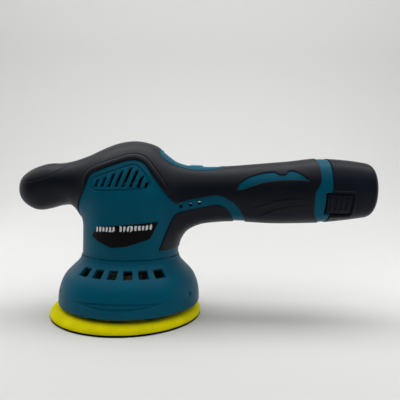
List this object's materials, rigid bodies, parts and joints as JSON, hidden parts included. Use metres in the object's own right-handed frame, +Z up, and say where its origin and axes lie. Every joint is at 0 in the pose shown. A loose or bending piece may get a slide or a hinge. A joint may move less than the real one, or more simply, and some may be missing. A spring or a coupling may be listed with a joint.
{
  "type": "dual action polisher",
  "caption": "Cordless random orbit polisher with a nose knob, vented motor neck, round shroud, offset backing pad and slide-in battery at the end of its handle.",
  "frame": {"origin": "point where the motor axis meets the plane of the pad's working face", "axes": "+X from the motor towards the battery, +Z up along the motor axis, -Y the side with the sticker"},
  "size_m": [0.2956, 0.125, 0.1428],
  "materials": {
    "teal_plastic": "satin moulded plastic",
    "grip_rubber": "soft matt overmould",
    "battery_plastic": "satin black plastic",
    "black_plastic": "glass-filled plastic",
    "label_film": "printed film",
    "button_plastic": "translucent button",
    "pad_foam": "moulded yellow foam",
    "hook": "hook fabric",
    "steel": "zinc plated",
    "copper": "enamelled copper",
    "brass": "brass",
    "magnet": "ferrite",
    "board": "printed circuit board",
    "cell": "cell sleeve",
    "wire": "wire insulation"
  },
  "bodies": {
    "housing": {"left_housing": "teal_plastic", "right_housing": "teal_plastic", "left_overmould": "grip_rubber", "right_overmould": "grip_rubber", "left_finger_grip": "grip_rubber", "right_finger_grip": "grip_rubber", "palm_pad": "grip_rubber", "saddle_trim": "teal_plastic", "label_plate": "label_film", "housing_screws": "steel", "shroud": "teal_plastic", "motor_frame": "black_plastic", "frame_screws": "steel", "motor_can": "steel", "motor_magnets": "magnet", "motor_end_bell": "black_plastic", "motor_bearings": "steel", "brush_holders": "brass", "carbon_brushes": "magnet", "motor_terminals": "brass", "motor_screws": "steel", "motor_leads": "wire", "control_board": "board", "board_parts": "black_plastic", "button_board": "board", "tact_switch": "steel", "terminal_block": "black_plastic", "terminal_blades": "brass", "switch_spring": "steel"},
    "rotor": {"motor_shaft": "steel", "armature_core": "steel", "armature_windings": "copper", "commutator": "copper", "eccentric_hub": "steel", "hub_screw": "steel", "cooling_fan": "black_plastic", "bearing_outer": "steel", "bearing_balls": "steel", "bearing_clip": "steel"},
    "pad": {"pad_spindle": "steel", "bearing_inner": "steel", "spindle_clip": "steel", "pad_stud": "steel", "pad_base": "black_plastic", "pad_foam": "pad_foam", "hook_face": "hook"},
    "switch": {"switch_button": "button_plastic"},
    "battery": {"battery_cup": "battery_plastic", "battery_tower": "battery_plastic", "battery_cells": "cell", "cell_tabs": "steel", "battery_board": "board", "battery_contacts": "brass", "battery_screws": "steel", "left_latch_spring": "steel", "right_latch_spring": "steel"},
    "left_latch": {"left_latch": "battery_plastic"},
    "right_latch": {"right_latch": "battery_plastic"}
  },
  "joints": [
    {"name": "rotor_spin", "type": "hinge", "parent": "housing", "child": "rotor", "pos_m": [0, 0, 0.04], "axis": [0, 0, 1], "continuous": true},
    {"name": "pad_spin", "type": "hinge", "parent": "rotor", "child": "pad", "pos_m": [-0.0025, 0, 0.023], "axis": [0, 0, 1], "continuous": true},
    {"name": "switch_press", "type": "slide", "parent": "housing", "child": "switch", "axis": [0, 0, -1], "range_m": [0, 0.001], "stiffness_N_per_m": 1200, "springref_m": -0.0004, "deforming": ["switch_spring"]},
    {"name": "battery_slide", "type": "slide", "parent": "housing", "child": "battery", "axis": [1, 0, 0], "range_m": [0, 0.09]},
    {"name": "left_latch_press", "type": "slide", "parent": "battery", "child": "left_latch", "axis": [0, 1, 0], "range_m": [0, 0.0012], "stiffness_N_per_m": 1500, "springref_m": -0.0005, "deforming": ["left_latch_spring"]},
    {"name": "right_latch_press", "type": "slide", "parent": "battery", "child": "right_latch", "axis": [0, -1, 0], "range_m": [0, 0.0012], "stiffness_N_per_m": 1500, "springref_m": -0.0005, "deforming": ["right_latch_spring"]}
  ]
}
